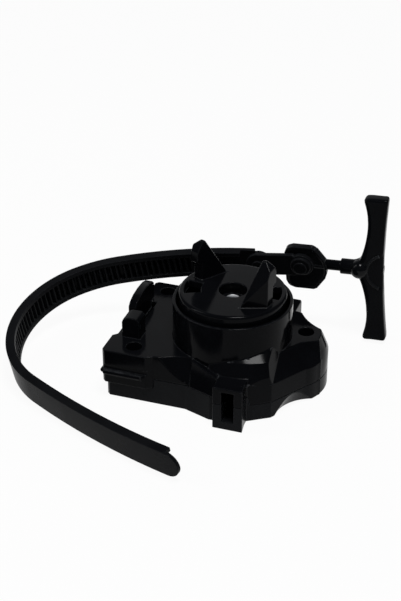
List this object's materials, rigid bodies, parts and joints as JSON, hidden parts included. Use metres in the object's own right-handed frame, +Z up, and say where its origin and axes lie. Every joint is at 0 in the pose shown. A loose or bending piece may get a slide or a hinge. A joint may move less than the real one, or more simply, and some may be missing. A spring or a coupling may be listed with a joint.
{
  "type": "spinning top launcher",
  "caption": "Hand launcher for a spinning top: a geared housing with a pronged drum, driven by pulling a toothed strip with a swivelling T-handle.",
  "frame": {"origin": "on the drum's axis, in the plane of the housing's underside", "axes": "+X right across the strip channel, +Y to the back of the housing, +Z up along the drum's axis towards the prongs"},
  "size_m": [0.1315, 0.114, 0.0609],
  "materials": {
    "black_plastic": "glossy moulded",
    "pale_plastic": "satin moulded",
    "steel": "plated"
  },
  "bodies": {
    "housing": {"upper_shell": "black_plastic", "lower_shell": "black_plastic", "housing_screws": "steel", "spindle": "steel", "thrust_washer": "steel", "drum_washer": "steel", "drum_screw": "steel"},
    "drum": {"launch_drum": "black_plastic", "spring_seat": "steel", "clutch_spring": "steel"},
    "gear": {"drive_gear": "pale_plastic"},
    "clutch": {"clutch_ring": "pale_plastic"},
    "strip": {"rack_strip": "black_plastic", "strip_rivet": "steel"},
    "tang": {"link_tang": "black_plastic"},
    "link": {"link_plate_front": "black_plastic", "link_plate_rear": "black_plastic", "link_pin": "steel", "swivel_rod": "black_plastic", "rod_washer": "steel"},
    "handle": {"pull_handle": "black_plastic", "handle_plug": "black_plastic"}
  },
  "joints": [
    {"name": "drum_spin", "type": "hinge", "parent": "housing", "child": "drum", "pos_m": [0, 0, 0], "axis": [0, 0, 1], "continuous": true},
    {"name": "gear_spin", "type": "hinge", "parent": "housing", "child": "gear", "pos_m": [0, 0, 0], "axis": [0, 0, 1], "continuous": true},
    {"name": "clutch_slide", "type": "slide", "parent": "drum", "child": "clutch", "axis": [0, 0, 1], "range_m": [0, 0.0012], "stiffness_N_per_m": 200, "springref_m": -0.002, "deforming": ["clutch_spring"]},
    {"name": "strip_lift", "type": "slide", "parent": "housing", "child": "strip", "axis": [0, 0, 1], "range_m": [0, 0.15]},
    {"name": "tang_pivot", "type": "hinge", "parent": "strip", "child": "tang", "pos_m": [-0.00217, 0.0394, 0.02853], "axis": [-0.0618, 0.9765, 0.2064], "range_deg": [-20, 20]},
    {"name": "link_pivot", "type": "hinge", "parent": "tang", "child": "link", "pos_m": [0.01435, 0.03994, 0.03094], "axis": [-0.0618, 0.9765, 0.2064], "range_deg": [-30, 30]},
    {"name": "handle_swivel", "type": "hinge", "parent": "link", "child": "handle", "pos_m": [0.01424, 0.04283, 0.02981], "axis": [0.9976, 0.0543, 0.042], "continuous": true}
  ],
  "couplings": [
    {"joint": "gear_spin", "follows": "drum_spin", "ratio": 1}
  ]
}
